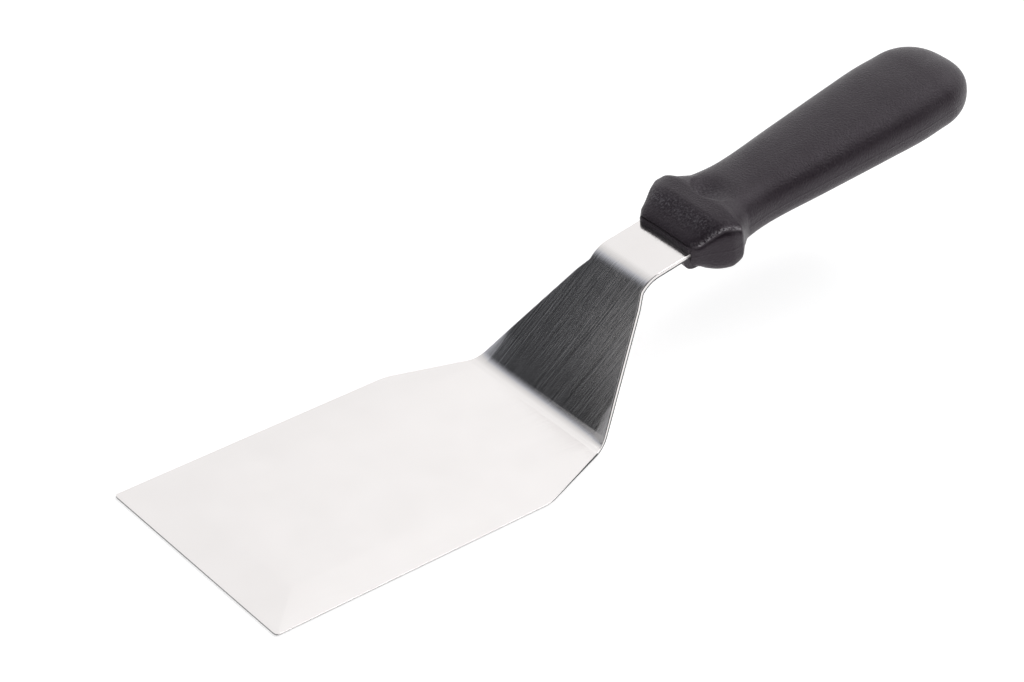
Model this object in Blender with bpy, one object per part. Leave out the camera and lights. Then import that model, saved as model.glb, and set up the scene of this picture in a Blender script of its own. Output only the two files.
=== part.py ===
"""Offset spatula: a cranked stainless blade whose tang is moulded into a plastic handle.

Frame: +X runs from the blade's front edge to the butt of the handle and +Z is up. The origin is on the plane
that the blade rests on, halfway along the whole length and across the width.
Shapes are drawn in millimetres and become metres when each mesh is made.
"""

import math

import bmesh
import bpy
from mathutils import Matrix, Vector

MM = 0.001
GAP = 0.3  # clearance between the tang and the plastic moulded round it

# Sheet and blade
SHEET = 1.6
BLADE_WIDTH = 75.0
PARALLEL_LENGTH = 95.0  # front edge to where the sides start to taper
BLADE_LENGTH = 122.0  # front edge to the first bend's corner
REAR_WIDTH = 55.6  # blade width at the first bend
FRONT_CORNER_RADIUS = 1.2
SIDE_CORNER_BLEND = 2.5  # half the length of the easing where the sides start to taper
EDGE_THICKNESS = 0.5  # left at the ground front and side edges
FRONT_GRIND = 14.0  # width of the ground band along the front
BLADE_PANEL = 25.2  # half width of the flat panel between the side bevels
CRANK_PANEL = 22.6  # the same on the crank, where the bevels run out
PANEL_BLEND = 8.0  # the panel narrows over this length either side of the first bend's corner
GRIND_SLOPE = (SHEET - EDGE_THICKNESS) / (BLADE_WIDTH / 2 - BLADE_PANEL)
EDGE_BREAK = 0.25  # chamfer along the upper edges

# Crank, neck and tang, measured along the sheet's upper face from the first bend's corner
CRANK_ANGLE = math.radians(51.0)
CRANK_LENGTH = 47.5  # corner to corner
CRANK_TAPER_LENGTH = 38.5
CRANK_TOP_WIDTH = 26.8
NECK_START = 43.0
NECK_WIDTH = 22.4
NECK_ANGLE = math.radians(9.4)
FIRST_BEND_RADIUS = 6.5  # both radii are those of the upper face
SECOND_BEND_RADIUS = 9.6
BEND_STEPS = 8

# Hidden tang, measured from the second bend's corner
TANG_SHOULDER = 18.0
TANG_WIDTH = 14.0
TANG_END = 76.0
SHOULDER_LENGTH = 2.5
TANG_HOLES = (34.0, 60.0)
TANG_HOLE_RADIUS = 2.5

# Handle, measured along its axis from the nose
HANDLE_NOSE = 13.0  # nose to the second bend's corner
HANDLE_AXIS_DROP = 1.5  # the axis lies this far under the neck's upper face
HANDLE_LENGTH = 121.8
BUTT_START = 106.0  # the rounded butt begins here
BUTT_ROUNDNESS = 2.5
LIP_START = 2.5  # the step that closes on the neck's upper face
LIP_END = 5.0
LIP_HEIGHT = 2.0
LIP_HALF_WIDTH = 11.0
LIP_INSET = 0.2  # how far the lip's sides stay inside the chin's
LIP_CORNER = 1.8  # radius of its left corner
LIP_OVERLAP = 1.1  # how far it reaches down into the chin
CHIN_START = 0.6  # the chin under the neck
CHIN_TOP = 0.7  # it meets the room cut for the neck
CHIN_DEPTH = 4.8
CHIN_END = 7.5
CHIN_CURVE = 5.0  # how far the chin curves back towards its bottom
NOSE_HOLLOW = 0.5  # how far the nose's middle is set back from its corners
NOSE_HOLLOW_END = 6.0
AROUND = 48

# Distance from the nose, half width, height above the axis, depth below it, squareness above and below
HANDLE_SECTIONS = (
    (3.3, 11.2, 4.2, 3.7, 6.0, 4.0),  # front face
    (3.8, 11.6, 4.6, 4.1, 6.0, 4.2),
    (4.5, 12.1, 5.0, 4.7, 6.0, 4.6),
    (7.0, 13.2, 6.2, 6.0, 5.5, 5.0),
    (8.5, 14.0, 7.05, 7.2, 5.2, 5.0),  # foot of the guard's front slope
    (11.8, 16.1, 8.95, 8.5, 4.4, 5.0),
    (13.4, 17.0, 9.45, 8.65, 4.0, 5.0),  # top of the slope
    (15.0, 17.6, 9.5, 8.7, 4.0, 5.0),
    (17.7, 17.7, 9.6, 8.2, 4.0, 4.5),  # guard's widest
    (20.5, 15.9, 9.3, 7.6, 3.2, 3.2),
    (25.0, 13.4, 8.9, 7.5, 2.8, 2.8),
    (35.0, 12.7, 8.5, 7.9, 2.6, 2.6),  # waist
    (57.0, 14.3, 8.8, 8.6, 2.6, 2.6),
    (82.0, 16.1, 9.4, 9.4, 2.6, 2.6),
    (97.0, 16.9, 9.7, 9.9, 2.6, 2.6),  # palm swell
    (106.0, 16.6, 9.7, 9.9, 2.6, 2.6),
)
NOSE_RINGS = (3.3, 3.8, 4.5, 5.7, 7.0, 8.5, 10.2, 11.8, 13.4, 15.0, 16.3, 17.0, 17.7, 18.5, 19.4)
WAIST_RINGS = (20.5, 22.0, 23.5, 25.0)
GRIP_STEP = 6.0
BUTT_RINGS = 11

# Dent for the thumb, just behind the guard
DENT_START = 17.0
DENT_LENGTH = 12.5
DENT_DEPTH = 2.3
DENT_HALF_WIDTH = 9.5
DENT_RIM_RADIUS = 8.0
DENT_RIM = 1.0  # length over which it drops behind the rim


# ---------------------------------------------------------------- general helpers


def smooth_step(t):
    t = min(max(t, 0.0), 1.0)
    return t * t * (3 - 2 * t)


def clear_scene():
    for obj in list(bpy.data.objects):
        bpy.data.objects.remove(obj, do_unlink=True)


def new_collection(name):
    collection = bpy.data.collections.new(name)
    bpy.context.scene.collection.children.link(collection)
    return collection


def new_object(name, bm, collection, parent=None):
    """An object from a bmesh drawn in millimetres."""
    bmesh.ops.scale(bm, vec=(MM, MM, MM), verts=bm.verts)
    bmesh.ops.recalc_face_normals(bm, faces=bm.faces)
    mesh = bpy.data.meshes.new(name)
    bm.to_mesh(mesh)
    bm.free()
    mesh.shade_smooth()
    mesh.set_sharp_from_angle(angle=math.radians(30))
    obj = bpy.data.objects.new(name, mesh)
    collection.objects.link(obj)
    obj.parent = parent
    return obj


def hide_cutter(obj):
    obj.hide_render = True
    obj.display_type = "WIRE"


def add_boolean(obj, other, operation):
    modifier = obj.modifiers.new(other.name, "BOOLEAN")
    modifier.operation = operation
    modifier.solver = "EXACT"
    modifier.object = other


def loft(rings):
    """A closed bmesh through rings of equal length, with a flat cap at each end."""
    bm = bmesh.new()
    lines = [[bm.verts.new(point) for point in ring] for ring in rings]
    for here, there in zip(lines, lines[1:]):
        for i in range(len(here)):
            j = (i + 1) % len(here)
            bm.faces.new((here[i], here[j], there[j], there[i]))
    bm.faces.new(reversed(lines[0]))
    bm.faces.new(lines[-1])
    return bm


def steel():
    return surface("stainless_steel", (0.78, 0.77, 0.76), roughness=0.28, metallic=1.0)


def black_plastic():
    return surface("black_polypropylene", (0.018, 0.018, 0.020), roughness=0.5, metallic=0.0)


def surface(name, colour, roughness, metallic):
    material = bpy.data.materials.new(name)
    material.use_nodes = True
    shader = material.node_tree.nodes["Principled BSDF"]
    shader.inputs["Base Color"].default_value = (*colour, 1.0)
    shader.inputs["Roughness"].default_value = roughness
    shader.inputs["Metallic"].default_value = metallic
    return material


# ---------------------------------------------------------------- bent sheet


def second_corner():
    """The second bend's corner on the sheet's upper face, where the neck's own frame starts."""
    along = Vector((math.cos(CRANK_ANGLE), 0.0, math.sin(CRANK_ANGLE)))
    return Vector((BLADE_LENGTH, 0.0, SHEET)) + along * CRANK_LENGTH


def bend_tangent(radius, angle):
    return radius * math.tan(angle / 2)


def fold(u):
    """The upper face's centre line: the point and slope at u, where each bend is counted corner to corner.

    Inside a bend, u is spread evenly over the arc between its two tangent points.
    """
    first = bend_tangent(FIRST_BEND_RADIUS, CRANK_ANGLE)
    turn = CRANK_ANGLE - NECK_ANGLE
    second = bend_tangent(SECOND_BEND_RADIUS, turn)
    corner = second_corner()
    if u <= BLADE_LENGTH - first:
        return Vector((u, 0.0, SHEET)), 0.0
    if u < BLADE_LENGTH + first:
        angle = CRANK_ANGLE * (u - BLADE_LENGTH + first) / (2 * first)
        centre = Vector((BLADE_LENGTH - first, 0.0, SHEET + FIRST_BEND_RADIUS))
        return centre + FIRST_BEND_RADIUS * Vector((math.sin(angle), 0.0, -math.cos(angle))), angle
    bend = BLADE_LENGTH + CRANK_LENGTH
    if u <= bend - second:
        along = Vector((math.cos(CRANK_ANGLE), 0.0, math.sin(CRANK_ANGLE)))
        return corner + (u - bend) * along, CRANK_ANGLE
    along = Vector((math.cos(NECK_ANGLE), 0.0, math.sin(NECK_ANGLE)))
    if u < bend + second:
        angle = CRANK_ANGLE - turn * (u - bend + second) / (2 * second)
        end = corner + second * along
        centre = end + SECOND_BEND_RADIUS * Vector((math.sin(NECK_ANGLE), 0.0, -math.cos(NECK_ANGLE)))
        return centre + SECOND_BEND_RADIUS * Vector((-math.sin(angle), 0.0, math.cos(angle))), angle
    return corner + (u - bend) * along, NECK_ANGLE


def sheet_point(u, y, depth):
    """A point of the folded sheet, at a depth below its upper face."""
    point, slope = fold(u)
    return point + Vector((math.sin(slope) * depth, y, -math.cos(slope) * depth))


NECK_BEND = BLADE_LENGTH + CRANK_LENGTH
OUTLINE = (
    (0.0, BLADE_WIDTH / 2),
    (PARALLEL_LENGTH, BLADE_WIDTH / 2),
    (BLADE_LENGTH, REAR_WIDTH / 2),
    (BLADE_LENGTH + CRANK_TAPER_LENGTH, CRANK_TOP_WIDTH / 2),
    (BLADE_LENGTH + NECK_START, NECK_WIDTH / 2),
    (NECK_BEND + TANG_SHOULDER, NECK_WIDTH / 2),
    (NECK_BEND + TANG_SHOULDER + SHOULDER_LENGTH, TANG_WIDTH / 2),
    (NECK_BEND + TANG_END, TANG_WIDTH / 2),
)


def straight_outline(u):
    for (u0, w0), (u1, w1) in zip(OUTLINE, OUTLINE[1:]):
        if u <= u1:
            return w0 + (w1 - w0) * (u - u0) / (u1 - u0)
    return OUTLINE[-1][1]


def side_easing(u):
    """What rounding off the corner where the sides start to taper takes from the half width."""
    turn = (BLADE_WIDTH - REAR_WIDTH) / 2 / (BLADE_LENGTH - PARALLEL_LENGTH)
    reach = max(SIDE_CORNER_BLEND - abs(u - PARALLEL_LENGTH), 0.0)
    return turn * reach**2 / (4 * SIDE_CORNER_BLEND)


def half_width(u):
    """Half the blank's width at u, with its corners and the tang's end rounded."""
    width = straight_outline(u) - side_easing(u)
    if u < FRONT_CORNER_RADIUS:
        width -= FRONT_CORNER_RADIUS - math.sqrt(FRONT_CORNER_RADIUS**2 - (FRONT_CORNER_RADIUS - u) ** 2)
    end_radius = TANG_WIDTH / 2
    past = u - (NECK_BEND + TANG_END - end_radius)
    if past > 0:
        width = math.sqrt(max(end_radius**2 - past**2, 0.0))
    return max(width, 0.6)


def panel_half(u):
    """Half the width of the flat panel between the side bevels, which narrows through the first bend."""
    blend = smooth_step((u - BLADE_LENGTH + PANEL_BLEND) / (2 * PANEL_BLEND))
    return BLADE_PANEL + (CRANK_PANEL - BLADE_PANEL) * blend


def ground_away(u, y):
    """How much the grinding takes off the upper face: planes falling to the front and to both sides."""
    front = (SHEET - EDGE_THICKNESS) * (1 - u / FRONT_GRIND)
    side = GRIND_SLOPE * (abs(y) - panel_half(u))
    return max(front, side, 0.0)


def grind_line(u):
    """Half the width of the panel inside the side bevels, which run to the front corners as mitres."""
    bevel = BLADE_WIDTH / 2 - panel_half(u)
    inner = BLADE_WIDTH / 2 - bevel * min(u / FRONT_GRIND, 1.0)
    return min(inner, half_width(u) - 2 * EDGE_BREAK)


def sheet_stations():
    first = bend_tangent(FIRST_BEND_RADIUS, CRANK_ANGLE)
    second = bend_tangent(SECOND_BEND_RADIUS, CRANK_ANGLE - NECK_ANGLE)
    end_radius = TANG_WIDTH / 2
    stations = [u for u, _ in OUTLINE[:-1]] + [FRONT_GRIND]
    stations += [PARALLEL_LENGTH + SIDE_CORNER_BLEND * i / 3 for i in range(-3, 4)]
    stations += [FRONT_CORNER_RADIUS * (1 - math.cos(math.radians(a))) for a in (22.5, 45, 67.5, 90)]
    # where the tapering sides run into the grind line and the bevels end
    slope = (REAR_WIDTH - CRANK_TOP_WIDTH) / 2 / CRANK_TAPER_LENGTH
    stations.append(BLADE_LENGTH + (REAR_WIDTH / 2 - CRANK_PANEL) / slope)
    stations += [BLADE_LENGTH + PANEL_BLEND * side for side in (-1.0, -0.65, 0.65, 1.0)]
    for corner, tangent in ((BLADE_LENGTH, first), (NECK_BEND, second)):
        stations += [corner - tangent + 2 * tangent * i / BEND_STEPS for i in range(BEND_STEPS + 1)]
    end = NECK_BEND + TANG_END - end_radius
    stations += [end + end_radius * math.sin(math.radians(a)) for a in (0, 15, 30, 45, 60, 75, 90)]
    return sorted({round(u, 4) for u in stations})


def sheet_section(u):
    """Points across the sheet at u as (y, depth), round the section once."""
    w = half_width(u)
    inner = grind_line(u)
    edge = ground_away(u, w)
    shoulder = w - EDGE_BREAK
    upper = [(w, edge + EDGE_BREAK), (shoulder, ground_away(u, shoulder)), (inner, ground_away(u, inner))]
    mirrored = [(-y, depth) for y, depth in reversed(upper)]
    return [(-w, SHEET), (w, SHEET), *upper, *mirrored]


def blade_mesh():
    return loft([[sheet_point(u, y, depth) for y, depth in sheet_section(u)] for u in sheet_stations()])


def neck_frame():
    """The frame of the neck: X along it from the second bend's corner, Z out of its upper face."""
    return Matrix.Translation(second_corner()) @ Matrix.Rotation(-NECK_ANGLE, 4, "Y")


def peg_mesh(x, radius, low, high):
    """An upright cylinder in the neck's frame."""
    bm = bmesh.new()
    place = neck_frame() @ Matrix.Translation((x, 0.0, (low + high) / 2))
    bmesh.ops.create_cone(
        bm, cap_ends=True, segments=24, radius1=radius, radius2=radius, depth=high - low, matrix=place
    )
    return bm


def make_blade(parts, cutters, parent):
    blade = new_object("blade", blade_mesh(), parts, parent)
    blade.data.materials.append(steel())
    for i, x in enumerate(TANG_HOLES):
        hole = new_object(f"tang_hole_{i}", peg_mesh(x, TANG_HOLE_RADIUS, -3 * SHEET, 2 * SHEET), cutters, parent)
        hide_cutter(hole)
        add_boolean(blade, hole, "DIFFERENCE")
    return blade


# ---------------------------------------------------------------- handle


def handle_frame():
    """The frame of the handle: X along its axis from the nose, Z up."""
    return neck_frame() @ Matrix.Translation((HANDLE_NOSE, 0.0, -HANDLE_AXIS_DROP))


def slope_at(points, i, k):
    """The slope of column k at station i, flattened at a peak or a hollow so that the curve doesn't overshoot."""
    if i in (0, len(points) - 1):
        return 0.0
    before = (points[i][k] - points[i - 1][k]) / (points[i][0] - points[i - 1][0])
    after = (points[i + 1][k] - points[i][k]) / (points[i + 1][0] - points[i][0])
    if before * after <= 0:
        return 0.0
    return 2 * before * after / (before + after)


def section_values(x):
    """Half width, height, depth and the two squarenesses at x, as smooth curves through the sections."""
    points = HANDLE_SECTIONS
    x = min(max(x, points[0][0]), points[-1][0])
    i = max(j for j in range(len(points) - 1) if points[j][0] <= x)
    span = points[i + 1][0] - points[i][0]
    t = (x - points[i][0]) / span
    values = []
    for k in range(1, len(points[0])):
        low = points[i][k] * (1 + 2 * t) * (1 - t) ** 2 + span * slope_at(points, i, k) * t * (1 - t) ** 2
        high = points[i + 1][k] * t * t * (3 - 2 * t) - span * slope_at(points, i + 1, k) * t * t * (1 - t)
        values.append(low + high)
    return values


def nose_set_back(x, y):
    """How far the nose's hollow front and its round left corner move a point back, fading out along the handle."""
    fade = 1 - smooth_step(x / NOSE_HOLLOW_END)
    hollow = NOSE_HOLLOW * max(1 - (y / LIP_HALF_WIDTH) ** 2, 0.0)
    cut = min(max(y - LIP_HALF_WIDTH + LIP_CORNER, 0.0), LIP_CORNER)
    corner = LIP_CORNER - math.sqrt(LIP_CORNER**2 - cut**2)
    return fade * (hollow + corner)


def thumb_dent(x, y):
    """Depth of the dent: steep behind its round front rim, fading out towards the grip."""
    across = y / DENT_HALF_WIDTH
    if abs(across) >= 1:
        return 0.0
    side = min(abs(y), DENT_RIM_RADIUS)
    rim = DENT_START + DENT_RIM_RADIUS - math.sqrt(DENT_RIM_RADIUS**2 - side**2)
    front = smooth_step((x - rim) / DENT_RIM)
    rear = 1 - smooth_step((x - DENT_START - DENT_RIM) / (DENT_LENGTH - DENT_RIM))
    return DENT_DEPTH * front * rear * (1 - across**2) ** 2


def power(value, exponent):
    return math.copysign(abs(value) ** exponent, value)


def handle_ring(x, shrink=1.0):
    """One section of the handle, a squared ellipse with its own squareness above and below."""
    half, top, bottom, square_top, square_bottom = section_values(x)
    ring = []
    for i in range(AROUND):
        angle = 2 * math.pi * i / AROUND
        c, s = math.cos(angle), math.sin(angle)
        square = square_top if s >= 0 else square_bottom
        y = half * shrink * power(c, 2 / square)
        z = (top if s >= 0 else bottom) * shrink * power(s, 2 / square)
        if s > 0:
            z -= thumb_dent(x, y) * s
        ring.append(Vector((x + nose_set_back(x, y), y, z)))
    return ring


def handle_rings():
    grip_start = WAIST_RINGS[-1]
    grip_length = BUTT_START - grip_start
    count = round(grip_length / GRIP_STEP)
    along = [*NOSE_RINGS, *WAIST_RINGS]
    along += [grip_start + grip_length * i / count for i in range(1, count + 1)]
    rings = [handle_ring(x) for x in along]
    for i in range(1, BUTT_RINGS + 1):
        angle = math.pi / 2 * min(i / BUTT_RINGS, 0.985)
        x = BUTT_START + (HANDLE_LENGTH - BUTT_START) * math.sin(angle)
        shrink = math.cos(angle) ** (2 / BUTT_ROUNDNESS)
        rings.append([Vector((x, p.y, p.z)) for p in handle_ring(BUTT_START, shrink)])
    return rings


def nose_outline(start, inset, end):
    """The nose seen from above: a hollow front edge, a rounded left corner and a sharp right one."""
    half = LIP_HALF_WIDTH - inset
    steps = 16
    front = []
    for i in range(steps + 1):
        y = half - 2 * half * i / steps
        front.append((start + inset + nose_set_back(0.0, y), y))
    return [*front, (end, -half), (end, half)]


def lip_mesh():
    """The step at the nose that closes on the neck's upper face."""
    outline = nose_outline(LIP_START, LIP_INSET, LIP_END)
    levels = (-LIP_OVERLAP, HANDLE_AXIS_DROP + LIP_HEIGHT)
    return loft([[Vector((x, y, z)) for x, y in outline] for z in levels])


def chin_mesh():
    """The chin under the neck, which reaches further forward and curves back towards its bottom."""
    rings = [[Vector((x, y, CHIN_TOP)) for x, y in nose_outline(CHIN_START, 0.0, CHIN_END)]]
    for angle in (0.0, 22.5, 45.0, 67.5, 88.0):
        start = CHIN_START + CHIN_CURVE * (1 - math.cos(math.radians(angle)))
        z = -CHIN_DEPTH * math.sin(math.radians(angle))
        rings.append([Vector((x, y, z)) for x, y in nose_outline(start, 0.0, CHIN_END)])
    return loft(rings)


def tang_room_mesh():
    """The space the neck and tang take inside the handle, with clearance all round."""
    bend = NECK_BEND
    rings = []
    for u in [bend + 5.0] + [u for u in sheet_stations() if u > bend + 10.0]:
        w = half_width(u) + GAP
        end = bend + TANG_END
        ahead = u + GAP * smooth_step((u - end + TANG_WIDTH / 2) / (TANG_WIDTH / 2))
        section = ((-w, SHEET + GAP), (w, SHEET + GAP), (w, -GAP), (-w, -GAP))
        rings.append([sheet_point(ahead, y, depth) for y, depth in section])
    return loft(rings)


def make_handle(parts, cutters, parent):
    handle = new_object("handle", loft(handle_rings()), parts, parent)
    handle.data.materials.append(black_plastic())
    lip = new_object("handle_lip", lip_mesh(), cutters, parent)
    chin = new_object("handle_chin", chin_mesh(), cutters, parent)
    for obj in (handle, lip, chin):
        obj.matrix_basis = placed(handle_frame())
    hide_cutter(lip)
    hide_cutter(chin)
    room = new_object("tang_room", tang_room_mesh(), cutters, parent)
    hide_cutter(room)
    for i, x in enumerate(TANG_HOLES):
        peg = new_object(f"tang_peg_{i}", peg_mesh(x, TANG_HOLE_RADIUS - GAP, -4 * SHEET, 3 * SHEET), cutters, parent)
        hide_cutter(peg)
        add_boolean(room, peg, "DIFFERENCE")
    add_boolean(handle, lip, "UNION")
    add_boolean(handle, chin, "UNION")
    add_boolean(handle, room, "DIFFERENCE")
    return handle


def placed(matrix):
    """A millimetre placement as a matrix in metres."""
    scaled = matrix.copy()
    scaled.translation = matrix.translation * MM
    return scaled


def overall_length():
    frame = handle_frame()
    return max((frame @ point).x for point in handle_rings()[-1] + handle_rings()[-2])


def main():
    clear_scene()
    parts = new_collection("offset_spatula")
    cutters = new_collection("cutters")
    base = bpy.data.objects.new("spatula_base", None)
    base.location = (-overall_length() / 2 * MM, 0.0, 0.0)
    parts.objects.link(base)
    make_blade(parts, cutters, base)
    make_handle(parts, cutters, base)


main()
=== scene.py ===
"""Looks of the offset spatula: a ground and brushed stainless blade, and a moulded black handle.

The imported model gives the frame: +X runs from the blade's front edge to the butt, +Z is up, and
the blade lies on the plane z = 0. Shapes are drawn in millimetres, as in part.py, and become
metres when each mesh is made. A place along the sheet is called u, and is measured along its
upper face as if it lay flat.
"""

import math

import bmesh
import bpy
from mathutils import Matrix, Vector


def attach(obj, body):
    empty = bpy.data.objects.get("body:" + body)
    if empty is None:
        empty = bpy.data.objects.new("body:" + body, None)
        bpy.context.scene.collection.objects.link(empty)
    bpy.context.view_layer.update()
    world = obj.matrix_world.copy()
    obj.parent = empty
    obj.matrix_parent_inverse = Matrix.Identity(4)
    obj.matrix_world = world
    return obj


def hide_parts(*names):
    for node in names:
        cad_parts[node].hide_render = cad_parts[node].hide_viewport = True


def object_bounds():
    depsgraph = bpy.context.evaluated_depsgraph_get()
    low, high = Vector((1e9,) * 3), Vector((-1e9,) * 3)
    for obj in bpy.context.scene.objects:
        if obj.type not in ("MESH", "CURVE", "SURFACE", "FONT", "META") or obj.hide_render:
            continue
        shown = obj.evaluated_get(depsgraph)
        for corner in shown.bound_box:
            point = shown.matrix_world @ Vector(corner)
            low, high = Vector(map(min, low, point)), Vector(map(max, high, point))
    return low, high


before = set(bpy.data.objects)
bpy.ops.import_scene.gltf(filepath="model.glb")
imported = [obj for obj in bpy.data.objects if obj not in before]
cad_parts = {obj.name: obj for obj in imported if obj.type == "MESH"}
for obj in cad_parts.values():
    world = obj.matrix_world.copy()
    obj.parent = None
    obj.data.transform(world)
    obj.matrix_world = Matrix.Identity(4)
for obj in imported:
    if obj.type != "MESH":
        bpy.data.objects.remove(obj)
CAD_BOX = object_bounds()

MM = 0.001

# Sheet and blade, as in part.py
SHEET = 1.6
BLADE_WIDTH = 75.0
PARALLEL_LENGTH = 95.0
BLADE_LENGTH = 122.0
REAR_WIDTH = 55.6
FRONT_CORNER_RADIUS = 1.2
SIDE_CORNER_BLEND = 2.5
EDGE_THICKNESS = 0.5
FRONT_GRIND = 14.0
BLADE_PANEL = 25.2  # half width of the flat panel between the side bevels
CRANK_PANEL = 22.6
PANEL_BLEND = 8.0  # length on each side of the first bend over which the panel narrows
GRIND_SLOPE = (SHEET - EDGE_THICKNESS) / (BLADE_WIDTH / 2 - BLADE_PANEL)
CRANK_ANGLE = math.radians(51.0)
CRANK_LENGTH = 47.5
CRANK_TAPER_LENGTH = 38.5
CRANK_TOP_WIDTH = 26.8
NECK_START = 43.0
NECK_WIDTH = 22.4
NECK_ANGLE = math.radians(9.4)
FIRST_BEND_RADIUS = 6.5
SECOND_BEND_RADIUS = 9.6
TANG_SHOULDER = 18.0
TANG_WIDTH = 14.0
TANG_END = 76.0
SHOULDER_LENGTH = 2.5
TANG_HOLES = (34.0, 60.0)
TANG_HOLE_RADIUS = 2.5
TANG_TIP = 0.6  # half width of the short flat left at the tang's round end
BEND_STEPS = 24
NECK_BEND = BLADE_LENGTH + CRANK_LENGTH
OUTLINE = (
    (0.0, BLADE_WIDTH / 2),
    (PARALLEL_LENGTH, BLADE_WIDTH / 2),
    (BLADE_LENGTH, REAR_WIDTH / 2),
    (BLADE_LENGTH + CRANK_TAPER_LENGTH, CRANK_TOP_WIDTH / 2),
    (BLADE_LENGTH + NECK_START, NECK_WIDTH / 2),
    (NECK_BEND + TANG_SHOULDER, NECK_WIDTH / 2),
    (NECK_BEND + TANG_SHOULDER + SHOULDER_LENGTH, TANG_WIDTH / 2),
    (NECK_BEND + TANG_END, TANG_WIDTH / 2),
)

# Fine shape of the sheet's edges
ARRIS = 0.3  # half the width of the soft line where two ground faces meet
GROUND_BREAK = 0.1  # radius left on the ground edges
NECK_BREAK = 0.25  # radius on the crank's and neck's upper edges
BREAK_BLEND = 14.0  # length past the first bend's corner over which one becomes the other
UNDER_BREAK = 0.2  # size of the rounding along the lower edges
UNDER_BULGE = 0.3  # how near that rounding's middle comes to the sharp corner, as a share of it
BREAK_STEPS = 4  # faces round a quarter turn of any such edge
# The torn strip and the lower rounding of the sheared walls get painted shade, for the dark line along
# the lower edges
TORN = 0.4  # width of the torn strip along the lower half of the sheared walls
TORN_FACE = 11  # its place round the section, counted from the upper face's middle
WALL_LEAN = 0.3  # a cut wall's normal leans less than this out of the sheet's own plane
FLAT_LEAN = 0.95  # and a flat face's normal leans more than this
FRONT_CUT = 0.5  # length of the front edge's own faces
TAPER_END = 2.0  # the taper's dark wall stops this far before the crank
FRONT_STATIONS = (0.0, 0.04, GROUND_BREAK, 6.0, 10.0)
CORNER_SIDES = (-0.25, 0.25)  # a station lies this far before and after each of the outline's corners
STATION_GAP = 0.03  # and all stations lie at least this far apart

# Handle, as in part.py, in its own frame: X along its axis from the nose.
# Each section is a place on the axis, half width, height, depth, and how square it is above and below.
HANDLE_NOSE = 13.0
HANDLE_AXIS_DROP = 1.5
HANDLE_LENGTH = 121.8
BUTT_START = 106.0
BUTT_ROUNDNESS = 2.5
BUTT_STEPS = 40
BUTT_LAST = 0.997  # the last ring's share of the quarter turn, so that it keeps a little width
LIP_START = 2.5
LIP_HEIGHT = 2.0
LIP_HALF_WIDTH = 11.0
LIP_ROUNDING = 0.25
LIP_CORNER = 1.8
LIP_END = 5.0
LIP_STEPS = 30
CHIN_START = 0.6
CHIN_DEPTH = 4.8  # below the handle's axis
CHIN_END = 7.5
CHIN_CURVE = 5.0  # how far the chin curves back towards its bottom
CHIN_STEPS = 8
NOSE_HOLLOW = 0.5
NOSE_HOLLOW_END = 6.0
HANDLE_SECTIONS = (
    (3.3, 11.2, 4.2, 3.7, 6.0, 4.0),
    (3.8, 11.6, 4.6, 4.1, 6.0, 4.2),
    (4.5, 12.1, 5.0, 4.7, 6.0, 4.6),
    (7.0, 13.2, 6.2, 6.0, 5.5, 5.0),
    (8.5, 14.0, 7.05, 7.2, 5.2, 5.0),
    (11.8, 16.1, 8.95, 8.5, 4.4, 5.0),
    (13.4, 17.0, 9.45, 8.65, 4.0, 5.0),
    (15.0, 17.6, 9.5, 8.7, 4.0, 5.0),
    (17.7, 17.7, 9.6, 8.2, 4.0, 4.5),
    (20.5, 15.9, 9.3, 7.6, 3.2, 3.2),
    (25.0, 13.4, 8.9, 7.5, 2.8, 2.8),
    (35.0, 12.7, 8.5, 7.9, 2.6, 2.6),
    (57.0, 14.3, 8.8, 8.6, 2.6, 2.6),
    (82.0, 16.1, 9.4, 9.4, 2.6, 2.6),
    (97.0, 16.9, 9.7, 9.9, 2.6, 2.6),
    (106.0, 16.6, 9.7, 9.9, 2.6, 2.6),
)
DENT_START = 17.0
DENT_LENGTH = 12.5
DENT_DEPTH = 2.3
DENT_HALF_WIDTH = 9.5
DENT_RIM_RADIUS = 8.0
DENT_RIM = 1.0  # length over which it drops behind the rim
FIT = 0.05  # the visible plastic lies this close to the steel
ROOM_START = 5.0  # the room for the neck starts this far past the second bend's corner
ROOM_STATIONS = 10.0  # and takes the sheet's own stations from here on
SHARP_ANGLE = math.radians(40.0)

# How closely the handle's rings lie: up to each place on the axis, and the step
HANDLE_STEPS = (
    (5.0, 0.1),
    (16.0, 0.6),
    (26.0, 0.3),
    (BUTT_START, 1.5),
)
UPPER_RING_STEPS = 28  # steps in each half of an upper quadrant, which meet at the ridge
LOWER_RING_STEPS = 14
LOWER_RING_MIDDLE = math.radians(42.0)  # where the two halves of a lower quadrant meet
RING_CROWDING = 1.4  # how strongly the steps past that angle crowd towards it, where 1 is not at all

# Raised line where the guard's top meets its side. Its angle is seen from the handle's axis.
RIDGE_START = 3.0
RIDGE_CREST = 12.5
RIDGE_END = 17.9
RIDGE_FADE_IN = 3.0
RIDGE_FADE_OUT = 0.6
RIDGE_ANGLE = 40.5
RIDGE_DROP = 8.0  # degrees it drops on each side of its crest
RIDGE_FRONT_REACH = 8.5  # length over which it drops towards the nose
RIDGE_REAR_REACH = 5.2
RIDGE_LIFT = 13.0  # degrees it rises again at its very start
RIDGE_LIFT_LENGTH = 3.5
RIDGE_HEIGHT = 0.5
RIDGE_GROOVE = 0.4
RIDGE_WIDTH = 0.58
RIDGE_LEFT = 0.3  # how much of it there is on the left side
PARTING_HEIGHT = 0.06
PARTING_WIDTH = 0.25

# Painted sparkle highlights, specks of lighter colour: on the guard's front slope and inside the thumb's
# dent
SPARKLE_PLACE = 9.8
SPARKLE_LENGTH = 2.6
SPARKLE_LOWEST = 0.75  # as a share of the section's height
SPARKLE_FADE = 0.2
DENT_SPARKLE = 0.7  # how strong they are in the dent's deepest part

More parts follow.
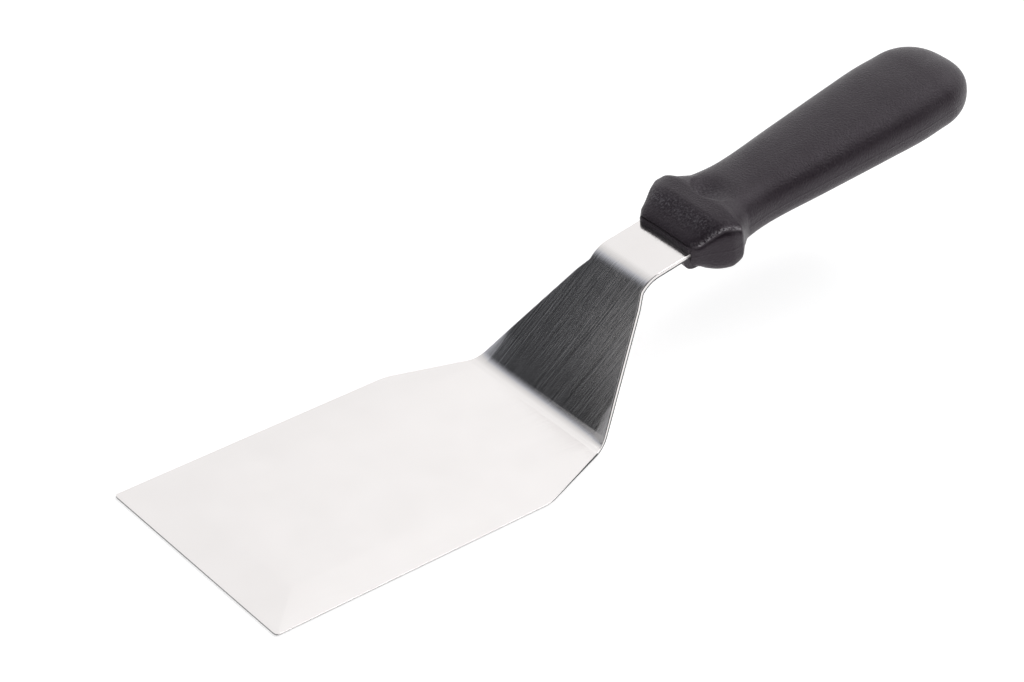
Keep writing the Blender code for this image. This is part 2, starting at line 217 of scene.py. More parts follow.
# Brightness of the studio's surround: compass angle from +X towards +Y, in degrees, and radiance
SURROUND = (
    (-180.0, 0.03),
    (-50.0, 0.02),
    (-42.0, 1.15),
    (46.0, 1.17),
    (57.0, 1.08),
    (74.0, 1.09),
    (84.0, 1.0),
    (109.0, 0.8),
    (118.0, 0.62),
    (127.0, 0.34),
    (133.0, 0.1),
    (138.0, 0.01),
    (145.0, 0.01),
    (152.0, 0.15),
    (168.0, 0.15),
    (180.0, 0.03),
)
SHADE_START = 115.0  # past this angle the surround is bluish
SHADE_TINT = (0.93, 0.97, 1.06)
OVERHEAD = 0.35  # what is left of the brightness straight above
OVERHEAD_START = 0.9  # height on the unit sphere where it starts to fall
OVERHEAD_END = 0.96

# Softboxes: name, azimuth, elevation, distance, width, height and radiance, in degrees and metres
SOFTBOXES = (
    ("side_card", 153.5, 45.0, 0.3, 0.1, 0.16, 0.36),
    ("right_box", -20.0, 60.0, 2.0, 1.1, 0.8, 3.2),
    ("top_box", 200.0, 86.0, 2.4, 2.0, 2.0, 0.35),
)

FLOOR_HALF = 6000.0
FLOOR_DROP = 0.2  # the floor lies this far under the blade

CAMERA_PLACE = (-507.8, -526.2, 515.6)
CAMERA_TARGET = (-5.0, 30.0, 0.0)
CAMERA_ROLL = math.radians(3.34)
CAMERA_SENSOR = 36.0
CAMERA_LENS = 106.8


# ---------------------------------------------------------------- general helpers


def smooth_step(t):
    t = min(max(t, 0.0), 1.0)
    return t * t * (3 - 2 * t)


def bump_curve(distance, width):
    """A bell curve, 1 at its middle."""
    return math.exp(-((distance / width) ** 2))


def spaced(start, end, steps):
    """Numbers from start to end in equal steps, both ends included."""
    return [start + (end - start) * i / steps for i in range(steps + 1)]


def quarter_turn(steps):
    """Angles from 0 to 90 degrees in equal steps, both ends included."""
    return [math.radians(angle) for angle in spaced(0.0, 90.0, steps)]


def new_object(name, bm, material):
    """A mesh object from a bmesh drawn in millimetres."""
    bmesh.ops.scale(bm, vec=(MM, MM, MM), verts=bm.verts)
    mesh = bpy.data.meshes.new(name)
    bm.to_mesh(mesh)
    bm.free()
    mesh.shade_smooth()
    if material:
        mesh.materials.append(material)
    obj = bpy.data.objects.new(name, mesh)
    bpy.context.scene.collection.objects.link(obj)
    return obj


def loft(rings, uv_points=None, uv_name="sheet"):
    """A closed bmesh through rings of equal length.

    uv_points holds one (u, v) for each point of each ring.
    """
    bm = bmesh.new()
    lines = [[bm.verts.new(point) for point in ring] for ring in rings]
    uv = bm.loops.layers.uv.new(uv_name) if uv_points else None

    def add(corners):
        face = bm.faces.new([lines[r][i] for r, i in corners])
        if uv:
            for loop, (r, i) in zip(face.loops, corners):
                loop[uv].uv = uv_points[r][i]

    count = len(rings[0])
    for r in range(len(rings) - 1):
        for i in range(count):
            j = (i + 1) % count
            add([(r, i), (r, j), (r + 1, j), (r + 1, i)])
    add([(0, i) for i in reversed(range(count))])
    add([(len(rings) - 1, i) for i in range(count)])
    bmesh.ops.recalc_face_normals(bm, faces=bm.faces)
    return bm


def apply_boolean(obj, other, operation):
    """Joins or cuts obj with other, keeps the result in obj's mesh, and removes other."""
    modifier = obj.modifiers.new("shape", "BOOLEAN")
    modifier.operation = operation
    modifier.solver = "EXACT"
    modifier.object = other
    bpy.context.view_layer.update()
    graph = bpy.context.evaluated_depsgraph_get()
    result = bpy.data.meshes.new_from_object(obj.evaluated_get(graph))
    obj.modifiers.clear()
    obj.data = result
    bpy.data.objects.remove(other, do_unlink=True)


# ---------------------------------------------------------------- bent sheet


def heading(slope):
    """The direction along the sheet, where the sheet rises at a slope."""
    return Vector((math.cos(slope), 0.0, math.sin(slope)))


def facing_up(slope):
    """The direction straight out of the sheet's upper face, where the sheet rises at a slope."""
    return Vector((-math.sin(slope), 0.0, math.cos(slope)))


def second_corner():
    """Where the crank's and the neck's upper faces would meet without a bend radius."""
    return Vector((BLADE_LENGTH, 0.0, SHEET)) + heading(CRANK_ANGLE) * CRANK_LENGTH


def bend_tangent(radius, angle):
    """How far a bend reaches on each side of its corner."""
    return radius * math.tan(angle / 2)


def fold(u):
    """The upper face's centre line: the point and slope at u.

    Both sides of a bend are counted up to its corner, and so u is a little longer than the arc there.
    """
    first = bend_tangent(FIRST_BEND_RADIUS, CRANK_ANGLE)
    turn = CRANK_ANGLE - NECK_ANGLE
    second = bend_tangent(SECOND_BEND_RADIUS, turn)
    corner = second_corner()
    if u <= BLADE_LENGTH - first:
        return Vector((u, 0.0, SHEET)), 0.0
    if u < BLADE_LENGTH + first:
        angle = CRANK_ANGLE * (u - BLADE_LENGTH + first) / (2 * first)
        centre = Vector((BLADE_LENGTH - first, 0.0, SHEET + FIRST_BEND_RADIUS))
        return centre - FIRST_BEND_RADIUS * facing_up(angle), angle
    if u <= NECK_BEND - second:
        return corner + (u - NECK_BEND) * heading(CRANK_ANGLE), CRANK_ANGLE
    if u < NECK_BEND + second:
        angle = CRANK_ANGLE - turn * (u - NECK_BEND + second) / (2 * second)
        end = corner + second * heading(NECK_ANGLE)
        centre = end - SECOND_BEND_RADIUS * facing_up(NECK_ANGLE)
        return centre + SECOND_BEND_RADIUS * facing_up(angle), angle
    return corner + (u - NECK_BEND) * heading(NECK_ANGLE), NECK_ANGLE


def sheet_point(u, y, depth):
    """The point at u along the sheet and y across it, at a depth below the upper face."""
    point, slope = fold(u)
    return point + Vector((math.sin(slope) * depth, y, -math.cos(slope) * depth))


def straight_outline(u):
    """Half width of the sheet at u, with sharp corners."""
    for (u0, w0), (u1, w1) in zip(OUTLINE, OUTLINE[1:]):
        if u <= u1:
            return w0 + (w1 - w0) * (u - u0) / (u1 - u0)
    return OUTLINE[-1][1]


def side_easing(u):
    """What rounding off the corner where the sides start to taper takes from the half width."""
    turn = (BLADE_WIDTH - REAR_WIDTH) / 2 / (BLADE_LENGTH - PARALLEL_LENGTH)
    reach = max(SIDE_CORNER_BLEND - abs(u - PARALLEL_LENGTH), 0.0)
    return turn * reach**2 / (4 * SIDE_CORNER_BLEND)


def half_width(u):
    """Half width of the sheet at u, with its round corners and the tang's round end."""
    width = straight_outline(u) - side_easing(u)
    if u < FRONT_CORNER_RADIUS:
        inside = math.sqrt(FRONT_CORNER_RADIUS**2 - (FRONT_CORNER_RADIUS - u) ** 2)
        width -= FRONT_CORNER_RADIUS - inside
    end_radius = TANG_WIDTH / 2
    past = u - (NECK_BEND + TANG_END - end_radius)
    if past > 0:
        width = math.sqrt(max(end_radius**2 - past**2, 0.0))
    return max(width, TANG_TIP)


def panel_half(u):
    """Half width of the flat panel between the side bevels, which narrows through the first bend."""
    blend = smooth_step((u - BLADE_LENGTH + PANEL_BLEND) / (2 * PANEL_BLEND))
    return BLADE_PANEL + (CRANK_PANEL - BLADE_PANEL) * blend


def ground_away(u, y):
    """How much the grinding takes off the upper face: planes falling to the front and to both sides."""
    front = (SHEET - EDGE_THICKNESS) * (1 - u / FRONT_GRIND)
    side = GRIND_SLOPE * (abs(y) - panel_half(u))
    return max(front, side, 0.0)


def grind_line(u):
    """Where the side bevel starts: the panel's edge, or the mitre to the front corner."""
    return BLADE_WIDTH / 2 - (BLADE_WIDTH / 2 - panel_half(u)) * min(u / FRONT_GRIND, 1.0)


def edge_break(u):
    """Radius of the broken upper edge: slight on the ground edges, larger on the crank and neck."""
    along = smooth_step((u - BLADE_LENGTH) / BREAK_BLEND)
    return GROUND_BREAK + (NECK_BREAK - GROUND_BREAK) * along


def sheet_stations():
    """Every u where the sheet gets a section: 10 mm apart, but close at corners, grinds and bends."""
    first = bend_tangent(FIRST_BEND_RADIUS, CRANK_ANGLE)
    second = bend_tangent(SECOND_BEND_RADIUS, CRANK_ANGLE - NECK_ANGLE)
    round_end = TANG_WIDTH / 2
    end = NECK_BEND + TANG_END
    stations = [*FRONT_STATIONS, FRONT_GRIND - ARRIS, FRONT_GRIND + ARRIS]
    stations += [u + side for u, _ in OUTLINE[2:-1] for side in CORNER_SIDES]
    stations += [FRONT_CORNER_RADIUS * (1 - math.cos(angle)) for angle in quarter_turn(6)[1:]]
    stations += spaced(25.0, 85.0, 6)
    stations += spaced(PARALLEL_LENGTH - SIDE_CORNER_BLEND, PARALLEL_LENGTH + SIDE_CORNER_BLEND, 12)
    stations += spaced(BLADE_LENGTH - 10.0, BLADE_LENGTH + 23.0, 33)
    stations += spaced(BLADE_LENGTH - first, BLADE_LENGTH + first, BEND_STEPS)
    stations += spaced(NECK_BEND - second, NECK_BEND + second, BEND_STEPS)
    stations += [end - round_end * (1 - math.sin(angle)) for angle in quarter_turn(9)]
    kept = []
    for u in sorted(stations):
        if not kept or u - kept[-1] > STATION_GAP:
            kept.append(u)
    return kept


def sheet_section(u):
    """Points once round the sheet's section at u, as (y, depth), from the middle of its upper face."""
    w = half_width(u)
    r = edge_break(u)
    shoulder = w - r
    line = min(grind_line(u), shoulder - 3 * ARRIS)
    inside, outside = line - ARRIS, line + ARRIS
    top = [(y, ground_away(u, y)) for y in (0.0, inside / 3, inside * 2 / 3, inside, outside)]
    top.append(((outside + shoulder) / 2, ground_away(u, (outside + shoulder) / 2)))
    at_edge = ground_away(u, shoulder) + max(GROUND_BREAK - u, 0.0)
    for angle in quarter_turn(BREAK_STEPS):
        top.append((shoulder + r * math.sin(angle), at_edge + r * (1 - math.cos(angle))))
    lower = SHEET - UNDER_BREAK
    bulge = UNDER_BULGE * UNDER_BREAK
    wall = [(w, max(lower - TORN, (top[-1][1] + lower) / 2)), (w, lower)]
    under = [(w - bulge, SHEET - bulge), (w - UNDER_BREAK, SHEET), (w / 2, SHEET), (0.0, SHEET)]
    side = top + wall + under
    other = [(-y, depth) for y, depth in reversed(side[1:-1])]
    return side + other


def blade_mesh():
    """The whole sheet from front edge to tang. Its UV map gives u and y in metres."""
    rings, uvs = [], []
    for u in sheet_stations():
        section = sheet_section(u)
        rings.append([sheet_point(u, y, depth) for y, depth in section])
        uvs.append([(u * MM, y * MM) for y, _ in section])
    return loft(rings, uvs)


def neck_frame():
    """The frame of the neck's upper face: X along it from the second corner, Z out of it."""
    return Matrix.Translation(second_corner()) @ Matrix.Rotation(-NECK_ANGLE, 4, "Y")


def peg_mesh(x, radius, low, high):
    """An upright cylinder in the neck's frame."""
    bm = bmesh.new()
    place = neck_frame() @ Matrix.Translation((x, 0.0, (low + high) / 2))
    bmesh.ops.create_cone(
        bm, cap_ends=True, segments=32, radius1=radius, radius2=radius, depth=high - low, matrix=place
    )
    return bm


def paint_shade_on_cut_faces(blade, material):
    """Gives the sheared edges their own steel.

    These are the front edge, both sides where the blade tapers, and the torn strip and the lower
    rounding along all of its sides. Their darker steel is painted shade for the dark line along the
    sheet's lower edges.
    """
    blade.data.materials.append(material)
    count = len(sheet_section(0.0))
    uv = blade.data.uv_layers["sheet"].data
    for face in blade.data.polygons:
        u = sum(uv[i].uv.x for i in face.loop_indices) / face.loop_total / MM
        lean = face.normal.dot(facing_up(fold(u)[1]))
        wall = abs(lean) < WALL_LEAN
        # The lower rounding, the torn strip and the front and taper walls get painted shade: a dark line
        # along the lower edges
        shaded_rounding = -FLAT_LEAN < lean <= -WALL_LEAN
        torn = face.index % count in (TORN_FACE, count - 1 - TORN_FACE)
        dark = u < FRONT_CUT or PARALLEL_LENGTH < u < BLADE_LENGTH - TAPER_END
        if shaded_rounding or torn or (wall and dark):
            face.material_index = 1


def make_blade(material, cut_shade_material):
    blade = new_object("blade_steel", blade_mesh(), material)
    paint_shade_on_cut_faces(blade, cut_shade_material)
    for x in TANG_HOLES:
        hole = new_object("hole", peg_mesh(x, TANG_HOLE_RADIUS, -3 * SHEET, 2 * SHEET), None)
        apply_boolean(blade, hole, "DIFFERENCE")
    return blade


# ---------------------------------------------------------------- handle


def handle_frame():
    """The frame of the handle: X along its axis from the nose, Z up."""
    return neck_frame() @ Matrix.Translation((HANDLE_NOSE, 0.0, -HANDLE_AXIS_DROP))


def slope_at(points, i, k):
    """The slope of column k at station i, level at a peak or a hollow so that the curve stays between."""
    if i in (0, len(points) - 1):
        return 0.0
    before = (points[i][k] - points[i - 1][k]) / (points[i][0] - points[i - 1][0])
    after = (points[i + 1][k] - points[i][k]) / (points[i + 1][0] - points[i][0])
    if before * after <= 0:
        return 0.0
    return 2 * before * after / (before + after)


def section_values(x):
    """Half width, height, depth and the two squarenesses at x, as smooth curves through the sections."""
    points = HANDLE_SECTIONS
    x = min(max(x, points[0][0]), points[-1][0])
    i = max(j for j in range(len(points) - 1) if points[j][0] <= x)
    span = points[i + 1][0] - points[i][0]
    t = (x - points[i][0]) / span
    values = []
    for k in range(1, len(points[0])):
        leaving = span * slope_at(points, i, k)
        arriving = span * slope_at(points, i + 1, k)
        low = points[i][k] * (1 + 2 * t) * (1 - t) ** 2 + leaving * t * (1 - t) ** 2
        high = points[i + 1][k] * t * t * (3 - 2 * t) - arriving * t * t * (1 - t)
        values.append(low + high)
    return values


def nose_set_back(x, y):
    """How far the nose's hollow front and round left corner move a point back.

    The shift fades out along the handle.
    """
    fade = 1 - smooth_step(x / NOSE_HOLLOW_END)
    hollow = NOSE_HOLLOW * max(1 - (y / LIP_HALF_WIDTH) ** 2, 0.0)
    cut = min(max(y - LIP_HALF_WIDTH + LIP_CORNER, 0.0), LIP_CORNER)
    corner = LIP_CORNER - math.sqrt(LIP_CORNER**2 - cut**2)
    return fade * (hollow + corner)


def thumb_dent(x, y):
    """Depth of the dent: steep behind its round front rim, fading out towards the grip."""
    across = y / DENT_HALF_WIDTH
    if abs(across) >= 1:
        return 0.0
    side = min(abs(y), DENT_RIM_RADIUS)
    rim = DENT_START + DENT_RIM_RADIUS - math.sqrt(DENT_RIM_RADIUS**2 - side**2)
    front = smooth_step((x - rim) / DENT_RIM)
    rear = 1 - smooth_step((x - DENT_START - DENT_RIM) / (DENT_LENGTH - DENT_RIM))
    return DENT_DEPTH * front * rear * (1 - across**2) ** 2


def ridge_angle(x):
    """Where the ridge crosses the section at x, as an angle above its widest line."""
    reach = RIDGE_FRONT_REACH if x < RIDGE_CREST else RIDGE_REAR_REACH
    drop = min(((x - RIDGE_CREST) / reach) ** 2, 1.0)
    start = 1 - smooth_step((x - RIDGE_START) / RIDGE_LIFT_LENGTH)
    return math.radians(RIDGE_ANGLE - RIDGE_DROP * drop + RIDGE_LIFT * start)


def ridge_strength(x):
    """How much of the ridge there is at x, from 0 to 1."""
    fade_in = smooth_step((x - RIDGE_START) / RIDGE_FADE_IN)
    return fade_in * smooth_step((RIDGE_END - x) / RIDGE_FADE_OUT)


def quadrant_angles(middle, steps):
    """Angles from 0 to 90 degrees, closer together near 0 and near the middle."""
    low = [middle * smooth_step(i / steps) for i in range(steps)]
    high = [middle + (math.pi / 2 - middle) * (i / steps) ** RING_CROWDING for i in range(steps)]
    return low + high


def section_radius(angle, square):
    """How far a squared unit circle reaches at an angle."""
    c, s = abs(math.cos(angle)), abs(math.sin(angle))
    return (c**square + s**square) ** (-1 / square)


def section_point(x, angle):
    """A point on the plain section at x, as (across, up) from the handle's axis."""
    half, top, bottom, square_top, square_bottom = section_values(x)
    above = math.sin(angle) >= 0
    reach = section_radius(angle, square_top if above else square_bottom)
    height = top if above else bottom
    return Vector((half * reach * math.cos(angle), height * reach * math.sin(angle)))


def raised(x, angle, point):
    """Heights of the ridge and parting line over the plain section, and the painted highlight on the
    crest.
    """
    crossing = section_point(x, ridge_angle(x))
    below = crossing.y - point.y  # distance down the guard's side from the ridge
    near = (Vector((abs(point.x), point.y)) - crossing).length
    signed = math.copysign(near, below)
    height = PARTING_HEIGHT * bump_curve(point.y, PARTING_WIDTH)
    strength = ridge_strength(x) if math.sin(angle) > 0 else 0.0
    if point.x > 0:
        strength *= RIDGE_LEFT
    crest = strength * bump_curve(signed, RIDGE_WIDTH)
    height += RIDGE_HEIGHT * crest
    height -= RIDGE_GROOVE * strength * bump_curve(signed - 2 * RIDGE_WIDTH, RIDGE_WIDTH)
    return height, crest


def painted_sparkle_strength(x, y, height):
    """How strongly the painted sparkle highlights show at a point of the section, from 0 to 1."""
    top = section_values(x)[1]
    upper = smooth_step((height / top - SPARKLE_LOWEST) / SPARKLE_FADE)
    slope = bump_curve(x - SPARKLE_PLACE, SPARKLE_LENGTH) * upper
    return min(slope + DENT_SPARKLE * upper * thumb_dent(x, y) / DENT_DEPTH, 1.0)


def handle_ring(x, shrink=1.0):
    """One section of the handle: a squared ellipse with the ridge, the parting line and the thumb's dent.

    Gives the points, and for each of them the painted highlight on the ridge and the painted
    sparkle, as a (u, v) pair.
    """
    upper = quadrant_angles(ridge_angle(x), UPPER_RING_STEPS)
    lower = quadrant_angles(LOWER_RING_MIDDLE, LOWER_RING_STEPS)[1:]
    angles = upper + [math.pi / 2] + [math.pi - a for a in reversed(upper)]
    angles += [math.pi + a for a in lower] + [1.5 * math.pi]
    angles += [2 * math.pi - a for a in reversed(lower)]
    ring, wear = [], []
    for angle in angles:
        point = section_point(x, angle)
        height, crest = raised(x, angle, point)
        y, z = (point + point.normalized() * height) * shrink
        if math.sin(angle) > 0:
            z -= thumb_dent(x, y) * math.sin(angle)
        ring.append(Vector((x + nose_set_back(x, y), y, z)))
        wear.append((crest, painted_sparkle_strength(x, y, point.y)))
    return ring, wear


def along_handle():
    """Stations along the handle, closest together at the nose and where the guard turns into the grip."""
    stations = [HANDLE_SECTIONS[0][0]]
    for end, step in HANDLE_STEPS:
        while stations[-1] < end:
            stations.append(stations[-1] + step)
    stations[-1] = BUTT_START
    return stations


def handle_body():
    """The guard, grip and round butt. Its UV map holds the ridge's painted highlight and the painted
    sparkle.
    """
    rings, wear = map(list, zip(*(handle_ring(x) for x in along_handle())))
    for i in range(1, BUTT_STEPS + 1):
        angle = math.pi / 2 * min(i / BUTT_STEPS, BUTT_LAST)
        x = BUTT_START + (HANDLE_LENGTH - BUTT_START) * math.sin(angle)
        shrink = math.cos(angle) ** (2 / BUTT_ROUNDNESS)
        ring, ring_highlights = handle_ring(BUTT_START, shrink)
        rings.append([Vector((x, p.y, p.z)) for p in ring])
        wear.append(ring_highlights)
    return loft(rings, wear, "wear")


def lip_outline(start, inset, end):
    """The lip seen from above: a hollow front edge, a rounded left corner and a sharp right one."""
    half = LIP_HALF_WIDTH - inset
    front = [(start + inset + nose_set_back(0.0, y), y) for y in spaced(half, -half, LIP_STEPS)]
    return [*front, (end, -half), (end, half)]


def lip_mesh():
    """The step at the nose that closes on the neck's upper face, with a rounded upper edge."""
    top = HANDLE_AXIS_DROP + LIP_HEIGHT
    levels = [(0.0, 0.0)]
    for angle in quarter_turn(BREAK_STEPS):
        z = top - LIP_ROUNDING * (1 - math.sin(angle))
        levels.append((z, LIP_ROUNDING * (1 - math.cos(angle))))
    rings = []
    for z, inset in levels:
        rings.append([Vector((x, y, z)) for x, y in lip_outline(LIP_START, inset, LIP_END)])
    return loft(rings)


def chin_mesh():
    """The chin under the neck, which reaches further forward and curves back underneath."""
    rings = []
    for angle in quarter_turn(CHIN_STEPS):
        start = CHIN_START + CHIN_CURVE * (1 - math.cos(angle))
        z = -CHIN_DEPTH * math.sin(angle)
        rings.append([Vector((x, y, z)) for x, y in lip_outline(start, 0.0, CHIN_END)])
    return loft(rings)


def tang_room_mesh():
    """The space the neck and tang take inside the handle."""
    stations = [NECK_BEND + ROOM_START]
    stations += [u for u in sheet_stations() if u > NECK_BEND + ROOM_STATIONS]
    rings = []
    for u in stations:
        w = half_width(u) + FIT
        section = ((-w, SHEET + FIT), (w, SHEET + FIT), (w, -FIT), (-w, -FIT))
        rings.append([sheet_point(u, y, depth) for y, depth in section])
    return loft(rings)


def make_handle(material):
    """The moulding: body, lip and chin in one, with room for the tang and pegs through its holes."""
    handle = new_object("handle_plastic", handle_body(), material)
    lip = new_object("lip", lip_mesh(), None)
    chin = new_object("chin", chin_mesh(), None)
    place = handle_frame()
    place.translation *= MM
    for obj in (handle, lip, chin):
        obj.data.transform(place)
    apply_boolean(handle, lip, "UNION")
    apply_boolean(handle, chin, "UNION")
    room = new_object("room", tang_room_mesh(), None)
    for x in TANG_HOLES:
        peg = new_object("peg", peg_mesh(x, TANG_HOLE_RADIUS - FIT, -4 * SHEET, 3 * SHEET), None)
        apply_boolean(room, peg, "DIFFERENCE")
    apply_boolean(handle, room, "DIFFERENCE")
    handle.data.materials.clear()
    handle.data.materials.append(material)
    handle.data.set_sharp_from_angle(angle=SHARP_ANGLE)
    return handle


# ---------------------------------------------------------------- materials


def principled(name, colour, roughness, metallic):
    """A material with the usual shader. A texture may take the place of the colour or roughness later."""
    material = bpy.data.materials.new(name)
    material.use_nodes = True
    shader = material.node_tree.nodes["Principled BSDF"]
    shader.inputs["Base Color"].default_value = (*colour, 1.0)
    shader.inputs["Roughness"].default_value = roughness
    shader.inputs["Metallic"].default_value = metallic
    return material, shader


class Nodes:
    """Short calls for building a material's nodes."""

    def __init__(self, material):
        self.tree = material.node_tree

    def add(self, kind, inputs=None, **settings):
        """A new node. Each input is either a value or another node's output."""
        node = self.tree.nodes.new(kind)
        for name, value in settings.items():
            setattr(node, name, value)
        for socket, value in (inputs or {}).items():
            if isinstance(value, bpy.types.NodeSocket):
                self.tree.links.new(value, node.inputs[socket])
            else:
                node.inputs[socket].default_value = value
        return node

    def link(self, output, target):
        self.tree.links.new(output, target)

    def stretched(self, vector, scale, rotation=(0.0, 0.0, 0.0)):
        node = self.add("ShaderNodeMapping", {"Vector": vector, "Scale": scale, "Rotation": rotation})
        return node.outputs["Vector"]

    def noise(self, vector, scale=1.0, detail=2.0, roughness=0.5):
        inputs = {"Vector": vector, "Scale": scale, "Detail": detail, "Roughness": roughness}
        return self.add("ShaderNodeTexNoise", inputs).outputs["Fac"]

    def spread(self, value, low, high, start=0.0, end=1.0):
        """The value from start to end, spread over low to high."""
        inputs = {"Value": value, "From Min": start, "From Max": end, "To Min": low, "To Max": high}
        return self.add("ShaderNodeMapRange", inputs).outputs["Result"]

    def maths(self, operation, *values):
        inputs = dict(enumerate(values))
        return self.add("ShaderNodeMath", inputs, operation=operation).outputs[0]

    def mix(self, factor, first, second):
        """The first colour where the factor is 0, and the second where it is 1."""
        inputs = {0: factor, 6: first, 7: second}
        return self.add("ShaderNodeMix", inputs, data_type="RGBA").outputs[2]

    def bumped(self, height, strength, distance):
        inputs = {"Height": height, "Strength": strength, "Distance": distance}
        return self.add("ShaderNodeBump", inputs).outputs["Normal"]

    def uv(self, name):
        return self.add("ShaderNodeUVMap", uv_map=name).outputs["UV"]

    def split(self, vector):
        return self.add("ShaderNodeSeparateXYZ", {"Vector": vector}).outputs


def brushed_steel():
    """Stainless sheet brushed a little off its length.

    It has fine streaks, a few longer scratches, and faint clouds of colour.
    """
    material, shader = principled("brushed_stainless", (0.79, 0.765, 0.757), 0.2, 1.0)
    nodes = Nodes(material)
    sheet = nodes.uv("sheet")
    slant = (0.0, 0.0, math.radians(8.0))
    grain = nodes.stretched(sheet, (1.0, 1.0, 1.0), slant)
    fine = nodes.noise(nodes.stretched(grain, (60.0, 3600.0, 1.0)), 1.0, 3.0, 0.6)
    broad = nodes.noise(nodes.stretched(grain, (24.0, 1600.0, 1.0)), 1.0, 3.0, 0.65)
    cloud = nodes.noise(sheet, 60.0, 2.0, 0.5)
    streaks = nodes.maths("MULTIPLY_ADD", fine, 0.15, broad)
    nodes.link(nodes.spread(streaks, 0.13, 0.2, 0.4, 0.75), shader.inputs["Roughness"])
    clouds = nodes.spread(cloud, 0.0, 1.0, 0.3, 0.7)
    colour = nodes.mix(clouds, (0.78, 0.755, 0.747, 1.0), (0.8, 0.775, 0.768, 1.0))
    nodes.link(colour, shader.inputs["Base Color"])
    nodes.link(nodes.bumped(streaks, 1.0, 0.000032), shader.inputs["Normal"])
    shader.inputs["Anisotropic"].default_value = 0.1
    tangent = nodes.add("ShaderNodeTangent", direction_type="UV_MAP", uv_map="sheet")
    nodes.link(tangent.outputs["Tangent"], shader.inputs["Tangent"])
    return material


def cut_steel_painted_shade():
    """The sheared edge: duller and darker than the brushed faces, torn across its thickness.

    Its dark tone is painted shade for the dark line along the sheet's lower edges.
    It is lighter round the front, where grinding has thinned and cleaned it.
    """
    material, shader = principled("sheared_stainless_painted_shade", (0.1, 0.1, 0.105), 0.45, 1.0)
    nodes = Nodes(material)
    place = nodes.add("ShaderNodeTexCoord").outputs["Object"]
    torn = nodes.noise(nodes.stretched(place, (3000.0, 3000.0, 800.0)), 1.0, 2.0, 0.6)
    nodes.link(nodes.spread(torn, 0.36, 0.54, 0.3, 0.7), shader.inputs["Roughness"])
    along = nodes.split(nodes.uv("sheet"))["X"]
    light_end, dark_start = (PARALLEL_LENGTH - 8.0) * MM, (PARALLEL_LENGTH + 6.0) * MM
    front = nodes.spread(along, 1.0, 0.0, light_end, dark_start)
    # Both tones are painted shade for the dark line along the lower edges; the front one is lighter
    rear_painted_shade = nodes.mix(torn, (0.035, 0.035, 0.037, 1.0), (0.09, 0.09, 0.094, 1.0))
    front_painted_shade = nodes.mix(torn, (0.24, 0.24, 0.245, 1.0), (0.4, 0.4, 0.405, 1.0))
    nodes.link(nodes.mix(front, rear_painted_shade, front_painted_shade), shader.inputs["Base Color"])
    nodes.link(nodes.bumped(torn, 0.4, 0.00005), shader.inputs["Normal"])
    return material


def moulded_plastic():
    """Black polypropylene with fine sparked grain, painted sparkles and a painted ridge highlight."""
    material, shader = principled("moulded_black", (0.026, 0.018, 0.025), 0.36, 0.0)
    nodes = Nodes(material)
    place = nodes.add("ShaderNodeTexCoord").outputs["Object"]
    grain = nodes.noise(place, 1700.0, 3.0, 0.6)
    cloud = nodes.noise(place, 90.0, 3.0, 0.55)
    nodes.link(nodes.spread(cloud, 0.31, 0.41, 0.3, 0.7), shader.inputs["Roughness"])
    wear = nodes.split(nodes.uv("wear"))
    # Lighter flecks on the ridge's crest: a painted highlight for the sparkling bead
    flecks = nodes.spread(nodes.noise(place, 1300.0, 2.0, 0.7), 0.0, 1.0, 0.42, 0.62)
    ridge_highlight = nodes.maths("MULTIPLY", wear["X"], flecks)
    # Lighter specks on the guard's front slope and in the thumb's dent: painted sparkle highlights
    sparkle_specks = nodes.spread(nodes.noise(place, 1500.0, 2.0, 0.7), 0.0, 1.0, 0.47, 0.7)
    painted_sparkle = nodes.maths("MULTIPLY", wear["Y"], sparkle_specks)
    grains = nodes.spread(grain, 0.0, 1.0, 0.3, 0.7)
    colour = nodes.mix(grains, (0.02, 0.0132, 0.0195, 1.0), (0.0275, 0.0197, 0.0265, 1.0))
    sparkle_painted = nodes.mix(painted_sparkle, colour, (0.14, 0.13, 0.145, 1.0))
    nodes.link(nodes.mix(ridge_highlight, sparkle_painted, (0.34, 0.32, 0.34, 1.0)), shader.inputs["Base Color"])
    nodes.link(nodes.bumped(grain, 0.8, 0.0003), shader.inputs["Normal"])
    shader.inputs["Specular IOR Level"].default_value = 0.35
    shader.inputs["Specular Tint"].default_value = (1.0, 0.91, 1.0, 1.0)
    return material


def pale_floor():
    """A matt white ground that glows a little, so that it fades into the white surround."""
    material, shader = principled("pale_floor", (0.75, 0.75, 0.75), 0.9, 0.0)
    shader.inputs["Emission Color"].default_value = (1.0, 1.0, 1.0, 1.0)
    shader.inputs["Emission Strength"].default_value = 0.6
    return material


# ---------------------------------------------------------------- studio


def make_floor():
    bm = bmesh.new()
    bmesh.ops.create_grid(bm, x_segments=1, y_segments=1, size=FLOOR_HALF)
    floor = new_object("floor", bm, pale_floor())
    floor.location.z = -FLOOR_DROP * MM


def direction(azimuth, elevation):
    """Unit vector from a compass angle, counted from +X towards +Y, and a height angle, in degrees."""
    a, e = math.radians(azimuth), math.radians(elevation)
    return Vector((math.cos(a) * math.cos(e), math.sin(a) * math.cos(e), math.sin(e)))


def softbox(name, azimuth, elevation, distance, width, height, radiance):
    """A rectangular area light that faces the origin. Its power follows from its face's brightness."""
    light = bpy.data.lights.new(name, "AREA")
    light.shape = "RECTANGLE"
    light.size = width
    light.size_y = height
    light.energy = radiance * math.pi * width * height
    obj = bpy.data.objects.new(name, light)
    bpy.context.scene.collection.objects.link(obj)
    away = direction(azimuth, elevation)
    obj.location = away * distance
    obj.rotation_euler = away.to_track_quat("Z", "Y").to_euler()
    obj.visible_camera = False


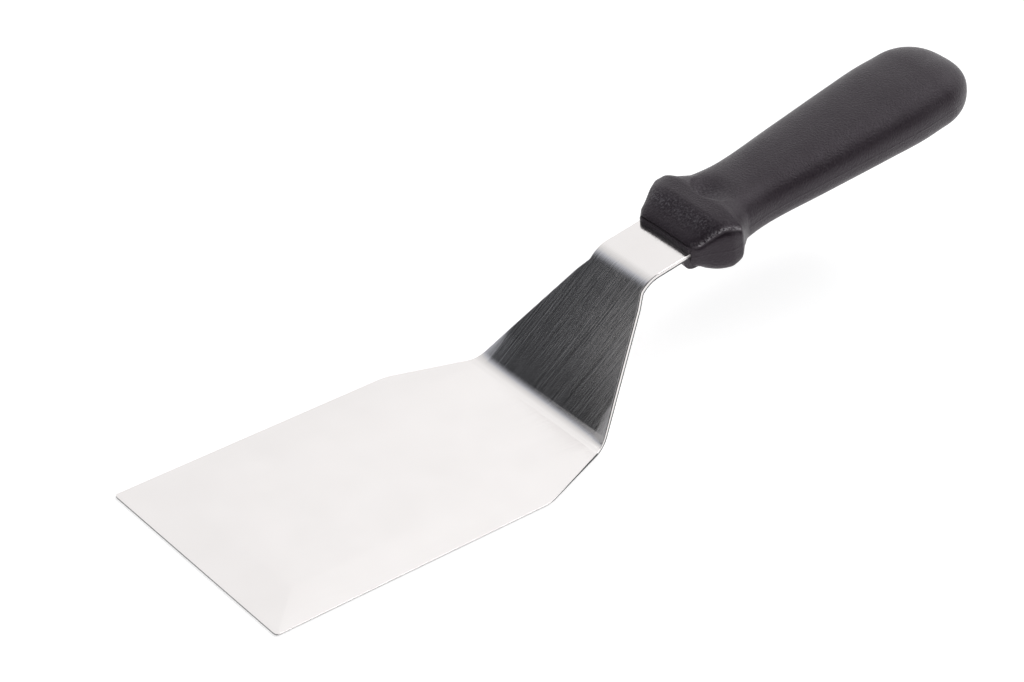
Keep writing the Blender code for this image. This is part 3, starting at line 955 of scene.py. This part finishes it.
def make_world():
    """A soft white surround: its brightness goes by compass angle, and is less overhead."""
    world = bpy.data.worlds.new("studio")
    world.use_nodes = True
    nodes = Nodes(world)
    parts = nodes.split(nodes.add("ShaderNodeTexCoord").outputs["Generated"])
    azimuth = nodes.maths("ARCTAN2", parts["Y"], parts["X"])
    turn = nodes.spread(azimuth, 0.0, 1.0, -math.pi, math.pi)
    ramp = nodes.add("ShaderNodeValToRGB", {"Fac": turn})
    stops = ramp.color_ramp.elements
    while len(stops) > 1:
        stops.remove(stops[-1])
    for i, (angle, brightness) in enumerate(SURROUND):
        position = (angle + 180.0) / 360.0
        stop = stops[0] if i == 0 else stops.new(position)
        stop.position = position
        tint = SHADE_TINT if angle > SHADE_START else (1.0, 1.0, 1.0)
        stop.color = (*(brightness * channel for channel in tint), 1.0)
    overhead = nodes.spread(parts["Z"], 1.0, OVERHEAD, OVERHEAD_START, OVERHEAD_END)
    background = world.node_tree.nodes["Background"]
    nodes.link(ramp.outputs["Color"], background.inputs["Color"])
    nodes.link(overhead, background.inputs["Strength"])
    bpy.context.scene.world = world


def make_camera():
    place = Vector(CAMERA_PLACE) * MM
    target = Vector(CAMERA_TARGET) * MM
    camera = bpy.data.cameras.new("camera")
    camera.sensor_width = CAMERA_SENSOR
    camera.lens = CAMERA_LENS
    camera.clip_end = 100.0
    obj = bpy.data.objects.new("camera", camera)
    bpy.context.scene.collection.objects.link(obj)
    look = (target - place).to_track_quat("-Z", "Y").to_matrix().to_4x4()
    obj.matrix_world = Matrix.Translation(place) @ look @ Matrix.Rotation(CAMERA_ROLL, 4, "Z")
    bpy.context.scene.camera = obj


def make_studio():
    make_floor()
    make_camera()
    make_world()
    for settings in SOFTBOXES:
        softbox(*settings)
    bpy.context.scene.view_settings.view_transform = "Standard"


# ---------------------------------------------------------------- assembly


def main():
    """Builds both pieces with the CAD box's middle at the origin, and stands each one in for its node."""
    length = CAD_BOX[1][0] - CAD_BOX[0][0]
    steel = brushed_steel()
    plastic = moulded_plastic()
    blade = make_blade(steel, cut_steel_painted_shade())
    pieces = ((blade, "blade", "stainless_steel"), (make_handle(plastic), "handle", "black_plastic"))
    for piece, node, slot in pieces:
        piece.data.transform(Matrix.Translation((-length / 2, 0.0, 0.0)))
        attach(piece, "root")
        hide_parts(node)
    make_studio()


main()
